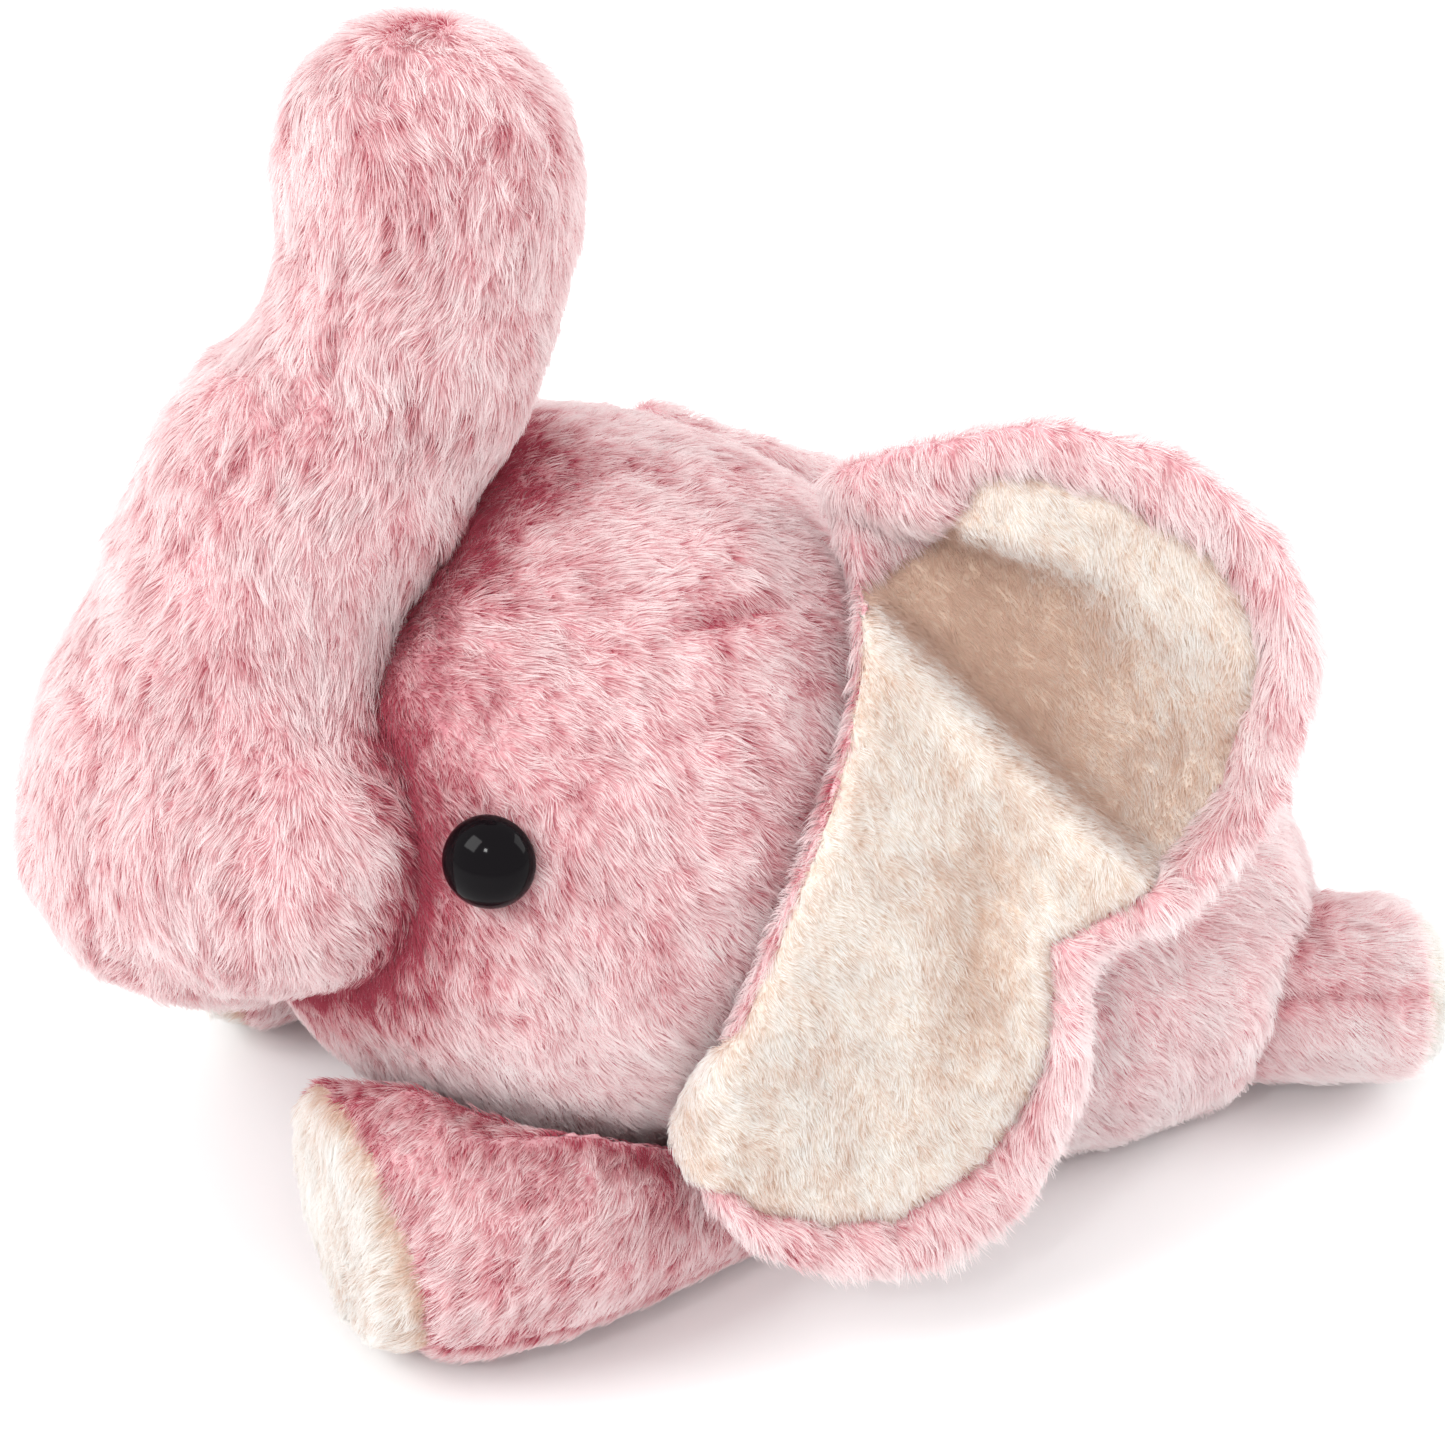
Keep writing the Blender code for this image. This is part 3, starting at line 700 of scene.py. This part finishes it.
def build_head(trunk_skin):
    """The head, with painted shade in the crease against the trunk and painted light that makes its lower part
    paler.
    """
    panels = ["head_panel_left", "head_panel_right", "head_top_gusset", "chin_gusset"]
    head = fused("head_fur", [*panels, "head_stuffing"], hull=True, rounds=6)
    points = coords(head)
    out = points - np.array(joints["head_nod"]["pos_m"])
    out /= np.linalg.norm(out, axis=1, keepdims=True)
    to_nape = np.array(Vector((0.0, 0.55, 0.83)).normalized())
    nape = steps(out @ to_nape, 0.72, 1.0)
    set_coords(head, points - out * (5 * MM * nape)[:, None])  # the nape is a little flatter than a ball
    seam = sew(head, panels, depth=1.2 * MM)
    darts = pinch_darts(head)
    ruffle(head, seed=1.0)
    from_trunk = gap(head, trunk_skin)
    # Painted shade, deepest in the crease against the trunk.
    crease = bell(from_trunk, 20 * MM) + 0.6 * bell(from_trunk, 4.5 * MM)
    # Painted light: the lower part of the head is painted paler.
    under = 1 - steps(coords(head)[:, 2], 0.06, 0.15)

    def flow(points):
        away = points - np.array(joints["trunk_lift"]["pos_m"])
        away = away / np.linalg.norm(away, axis=1, keepdims=True)
        return away * 0.6 + np.array([0.0, 0.25, -0.75])

    shade = 0.95 * crease - 0.15 - 0.35 * under
    comb_fur(head, HEAD_PILE, flow, seam=np.maximum(0.4 * seam, darts), shade=shade)
    clothe(head, "pink_fur")
    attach(head, "head")
    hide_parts(*panels, "head_stuffing")


def pinch_darts(head):
    """A short tuck in each side of the head, running forwards from the ear's upper root."""
    points, near = coords(head), 0.0
    for side, sign in (("left", 1), ("right", -1)):
        root = Vector(joints[f"ear_{side}_flap"]["pos_m"])
        start = root + Vector((-0.006 * sign, 0.018, 0.052))
        end = start + Vector((0.004 * sign, -0.052, -0.004))
        line = np.array(end - start)
        share = np.clip((points - np.array(start)) @ line / (line @ line), 0, 1)[:, None]
        away = np.linalg.norm(points - np.array(start) - share * line, axis=1)
        near = np.maximum(near, bell(away, 4 * MM) * (1 - share[:, 0] ** 2))
    swell(head, -3.2 * MM * near)
    return near


def build_trunk():
    """The trunk, in one skin from its broad foot to its tip. Returns it."""
    lower = [f"trunk_lower_{panel}" for panel in ("panel_left", "panel_right", "gusset")]
    upper = [f"trunk_upper_{panel}" for panel in ("panel_left", "panel_right", "gusset")]
    nodes = [*lower, *upper, "trunk_lower_stuffing", "trunk_upper_stuffing"]
    muzzle = ellipsoid(Vector(joints["trunk_lift"]["pos_m"]) + Vector((0, 0.012, 0.007)), MUZZLE)
    trunk = fused("trunk_fur", nodes, closing=TRUNK_CLOSING, rounds=16, extra=muzzle)
    points = coords(trunk)
    raised = steps(points[:, 2], 0.17, 0.30)
    waist = bell(points[:, 2] - 0.208, 0.032) * np.clip(-normals(trunk)[:, 1], 0, 1)
    shift = np.outer(raised, (0, -3.5 * MM, 4.5 * MM)) + np.outer(waist, (0, 10 * MM, 0))
    set_coords(trunk, points + shift)
    seam = np.maximum(sew(trunk, lower, depth=0.9 * MM), sew(trunk, upper, depth=0.9 * MM))
    ruffle(trunk, seed=3.0)
    # Painted shade where the trunk rests against the head.
    crease = nearness(trunk, ["head_panel_left", "head_panel_right", "head_top_gusset"], 7 * MM)
    shade = 0.8 * crease - 0.15
    comb_fur(trunk, TRUNK_PILE, (0.0, -0.1, -1.0), swirl=0.6, seam=0.45 * seam, shade=shade)
    clothe(trunk, "pink_fur")
    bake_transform(trunk)
    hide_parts(*nodes)
    return trunk


def build_body():
    panels = ["body_panel_left", "body_panel_right", "belly_gusset"]
    body = fused("body_fur", [*panels, "body_stuffing"], hull=True, rounds=8)
    seam = sew(body, panels, depth=1.2 * MM)
    ruffle(body, seed=5.0)
    # Painted shade where the body meets the head, and painted light that makes the rest of the body paler.
    crease = nearness(body, ["head_panel_left", "head_panel_right", "chin_gusset"], 16 * MM)
    comb_fur(body, BODY_PILE, (0.0, 0.55, -0.7), seam=0.5 * seam, shade=1.1 * crease - 0.5)
    clothe(body, "pink_fur")
    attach(body, "body")
    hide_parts(*panels, "body_stuffing")


# ---------------------------------------------------------------- legs and ears


def build_leg(name, flow, tone, drawn_in=0.0):
    """A leg with its sole. Its rear end is drawn forwards by drawn_in."""
    panels = [f"{name}_upper_panel", f"{name}_lower_panel", f"{name}_sole"]
    leg = fused(f"{name}_fur", [*panels, f"{name}_stuffing"], rounds=10)
    away = distances(leg, panels)
    points = coords(leg)
    points[:, 1] -= drawn_in * steps(points[:, 1], 0.15, 0.20)
    set_coords(leg, points)
    field = contour(leg, np.minimum(away[:, 0], away[:, 1]) - away[:, 2])
    seam = sew(leg, panels)
    ruffle(leg, seed=7.0)
    # Painted shade where a leg meets the body and head; tone paints the whole leg paler, as light, where it is
    # below zero.
    sides = [f"{part}_panel_{side}" for part in ("body", "head") for side in ("left", "right")]
    crease = nearness(leg, sides, 14 * MM)
    comb_fur(leg, LEG_PILE, flow, seam=0.8 * seam, shade=tone + 0.7 * crease)
    sole = split(leg, f"{name}_sole_fur", field)
    for piece, slot in ((leg, "pink_fur"), (sole, "cream_fur")):
        clothe(piece, slot)
        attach(piece, name)
    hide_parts(panels[0], panels[1], f"{name}_stuffing")
    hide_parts(panels[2])


def edge_distance(points, line):
    """How far each point is from the nearest of the points in a line."""
    tree = KDTree(len(line))
    for i, point in enumerate(line):
        tree.insert(point, i)
    tree.balance()
    return np.array([tree.find(p)[2] for p in points])


def ear_place(points, name):
    """How far back and how high each point is in the ear's own box, from 0 to 1."""
    low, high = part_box(f"{name}_lining")
    return (points[:, 1] - low.y) / (high.y - low.y), (points[:, 2] - low.z) / (high.z - low.z)


def ridge_place(points, name):
    """Where each point is along the ear's fold, from 0 to 1, and how far above it, in metres."""
    low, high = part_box(f"{name}_lining")
    size = np.array((high.y - low.y, high.z - low.z))
    start, end = np.array(RIDGE[0]) * size, np.array(RIDGE[1]) * size
    line = end - start
    length = np.linalg.norm(line)
    place = points[:, 1:] - np.array((low.y, low.z)) - start
    return place @ line / length**2, (place[:, 1] * line[0] - place[:, 0] * line[1]) / length


def root_distance(points, name):
    """How far each point is from the line on which an ear turns."""
    joint = joints[f"{name}_flap"]
    axis = np.array(Vector(joint["axis"]).normalized())
    return np.linalg.norm(np.cross(points - np.array(joint["pos_m"]), axis), axis=1)


def shape_ear(ear, name, sign, deep):
    """Folds the ear: a deep cup above its ridge and a soft valley below it. Returns the painted shade of the
    cup and of the valley.
    """
    points = coords(ear)
    along, above = ridge_place(points, name)
    back, up = ear_place(points, name)
    reach = steps(along, -0.25, 0.2) * (1 - steps(along, 0.92, 1.25))
    brim = 44 * MM * np.sqrt(np.clip((along + 0.1) / 0.55, 0, 1))
    soft = 3 * MM + 14 * MM * steps(along, 0.2, 0.9)
    cup = steps(above, -2 * MM, 5 * MM) * (1 - steps(above, brim - soft, brim + soft)) * reach
    crest = bell(above + 5 * MM, 9 * MM) * reach
    valley = bell(back - 0.53 + 0.3 * (0.35 - up), 0.07) * steps(up, 0.16, 0.34) * (1 - steps(up, 0.46, 0.6))
    swelling = np.exp(-((back - 0.68) ** 2 + (up - 0.33) ** 2) / 0.012)
    swelling += np.exp(-((back - 0.3) ** 2 + (up - 0.3) ** 2) / 0.03)
    sunk = 23 * MM * cup - 5 * MM * crest + 5 * MM * valley - 3.5 * MM * swelling
    facing = Vector((0.80 * sign, -0.42, 0.42)).normalized()
    tucked = 7 * MM * (1 - steps(root_distance(points, name), 3 * MM, 17 * MM))
    set_coords(ear, points - np.array(facing) * (deep * sunk + tucked)[:, None])
    # Painted shade: deepest in the cup, fading towards its far side, and softer in the valley.
    hollow_shade = cup * (1.0 - 0.75 * steps(back, 0.62, 0.95))
    return np.clip(hollow_shade + 0.4 * valley, 0, 1) * deep


def lining_field(ear, name, backing, lining):
    """How far each point is inside the edge of the ear's cream lining, in metres. It is negative outside."""
    away = distances(ear, [backing, lining])
    side = away[:, 0] - away[:, 1]
    points = coords(ear)
    border = edge_distance(points, points[np.abs(side) < 1.2 * MM])
    back, up = ear_place(points, name)
    corner = np.hypot(back - 0.42, (up - 1.0) * 1.33)
    root = (1 - steps(root_distance(points, name), 8 * MM, 24 * MM)) * (1 - steps(up, 0.72, 0.8))
    rim = 12 * MM * steps(up, 0.80, 0.97) + 6 * MM * (1 - steps(up, 0.03, 0.2)) - 9 * MM * root
    field = np.where(side > 0, border, -border) - rim
    return np.minimum(field, (corner - 0.26) * 0.15)


def build_ear(name, sign, deep):
    """An ear with its lining. Deep is how much of its fold it shows, from 0 to 1."""
    backing, lining, wadding = f"{name}_backing", f"{name}_lining", f"{name}_wadding"
    nodes = [backing, lining, wadding]
    ear = fused(f"{name}_back_fur", nodes, closing=EAR_CLOSING, rounds=8, inset=1.6 * MM)
    remesh(ear, VOXEL)
    largest_shell(ear)
    relax(ear, 3, shrink=False)
    field = contour(ear, lining_field(ear, name, backing, lining))
    hollow_shade = shape_ear(ear, name, sign, deep)
    groove = bell(field, 2.6 * MM)
    roll = np.where(field < 0, bell(field + 7 * MM, 6 * MM), 0)
    clear = steps(root_distance(coords(ear), name), 9 * MM, 24 * MM)
    swell(ear, (1.6 * MM * roll - 2.2 * MM * groove) * clear + 1.8 * MM * (1 - clear))
    ruffle(ear, height=0.4 * MM, seed=9.0)
    pile = np.where(field > 0, EAR_LINING_PILE, EAR_BORDER_PILE)
    # Painted shade in the lining's cup; the border is paler.
    shade = np.where(field > 0, hollow_shade, -0.35)
    comb_fur(ear, pile, (0.15 * sign, 0.45, -0.75), seam=0.5 * groove * clear, shade=shade)
    front = split(ear, f"{name}_lining_fur", field)
    for piece, slot in ((ear, "pink_fur"), (front, "cream_fur")):
        clothe(piece, slot)
        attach(piece, name)
    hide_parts(backing, wadding)
    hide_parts(lining)


# ---------------------------------------------------------------- tail and eyes


def build_tail():
    """The tail, whose pile is longest in the tuft at its end."""
    tail = fused("tail_fur", ["tail"], rounds=3, inset=0.4 * MM, voxel=1.2 * MM)
    low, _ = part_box("tail")
    points = coords(tail)
    tuft = np.clip((low.z + 0.024 - points[:, 2]) / 0.012, 0, 1)
    comb_fur(tail, TAIL_PILE + (TAIL_TUFT_PILE - TAIL_PILE) * tuft, (0, 0.1, -1))
    clothe(tail, "pink_fur")
    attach(tail, "tail")
    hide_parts("tail")


def build_eye(side):
    """A domed safety eye, turned round the line out of the head's middle."""
    low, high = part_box(f"eye_{side}")
    centre = Vector(joints["head_nod"]["pos_m"])
    out = ((low + high) / 2 - centre).normalized()
    reach = max((v.co - centre).dot(out) for v in frame["nodes"][f"eye_{side}"].data.vertices)
    rim = reach - EYE_DOME - EYE_SUNK
    quarter = np.linspace(0, math.pi / 2, 20)
    profile = [(EYE_RADIUS * math.sin(a), rim + EYE_DOME * math.cos(a)) for a in quarter]
    base = rim - 1.2 * MM
    profile += [(EYE_RADIUS * 0.97, rim - 0.9 * MM), (EYE_RADIUS * 0.8, base), (0, base)]
    bm = bmesh.new()
    sides = 64
    angles = np.linspace(0, 2 * math.pi, sides + 1)[:-1]
    previous = None
    for r, h in profile:
        verts = [bm.verts.new((r * math.cos(a), r * math.sin(a), h)) for a in angles]
        if previous:
            for i in range(sides):
                j = (i + 1) % sides
                bm.faces.new((previous[i], verts[i], verts[j], previous[j]))
        previous = verts
    bmesh.ops.remove_doubles(bm, verts=bm.verts, dist=1e-7)
    bmesh.ops.recalc_face_normals(bm, faces=bm.faces)
    mesh = bpy.data.meshes.new(f"eye_{side}_dome")
    bm.to_mesh(mesh)
    bm.free()
    eye = linked(f"eye_{side}_dome", mesh)
    eye.location = centre
    eye.rotation_euler = out.to_track_quat("Z", "Y").to_euler()
    mesh.materials.append(EYE)
    mesh.shade_smooth()
    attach(eye, "head")
    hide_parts(f"eye_{side}")


build_head(build_trunk())
build_body()
for side, sign in (("left", 1), ("right", -1)):
    build_leg(f"foreleg_{side}", (0.0, -0.6, -0.5), tone=0.0)
    # The hind legs are painted paler, as light falling on them.
    build_leg(f"hind_leg_{side}", (0.3 * sign, 0.6, -0.5), tone=-0.6, drawn_in=3 * MM)
    build_ear(f"ear_{side}", sign, deep=1.0 if side == "left" else 0.5)
    build_eye(side)
    washer = frame["nodes"][f"eye_washer_{side}"].data
    washer.materials.clear()
    washer.materials.append(WASHER)
build_tail()


# ---------------------------------------------------------------- camera, floor and light


def build_camera():
    azimuth, elevation = math.radians(CAMERA_AZIMUTH), math.radians(CAMERA_ELEVATION)
    level = math.cos(elevation)
    back = Vector((math.sin(azimuth) * level, -math.cos(azimuth) * level, math.sin(elevation)))
    camera = linked("camera", bpy.data.cameras.new("camera"))
    camera.data.lens = CAMERA_LENS
    camera.data.sensor_width = CAMERA_SENSOR
    camera.data.clip_start = 0.01
    camera.location = Vector(CAMERA_TARGET) + back * CAMERA_DISTANCE
    camera.rotation_euler = (-back).to_track_quat("-Z", "Y").to_euler()
    bpy.context.scene.camera = camera


def build_floor():
    r = FLOOR_REACH
    floor = object_of("floor", [(-r, -r, 0), (r, -r, 0), (r, r, 0), (-r, r, 0)], [(0, 1, 2, 3)])
    paper, _, shader = new_material("floor_paper")
    shader.inputs["Base Color"].default_value = (0.93, 0.93, 0.93, 1)
    shader.inputs["Roughness"].default_value = 0.9
    floor.data.materials.append(paper)


def area_light(name, place, size, power):
    light = bpy.data.lights.new(name, "AREA")
    light.size = size
    light.energy = power
    obj = linked(name, light)
    obj.location = place
    obj.rotation_euler = (Vector(LIGHTS_AIM) - Vector(place)).to_track_quat("-Z", "Y").to_euler()


def build_light():
    world = bpy.data.worlds.new("studio")
    world.use_nodes = True
    background = world.node_tree.nodes["Background"]
    background.inputs["Color"].default_value = (1, 1, 1, 1)
    background.inputs["Strength"].default_value = WORLD_STRENGTH
    bpy.context.scene.world = world
    for light in LIGHTS:
        area_light(*light)
    bpy.context.scene.view_settings.view_transform = "Standard"


build_camera()
build_floor()
build_light()
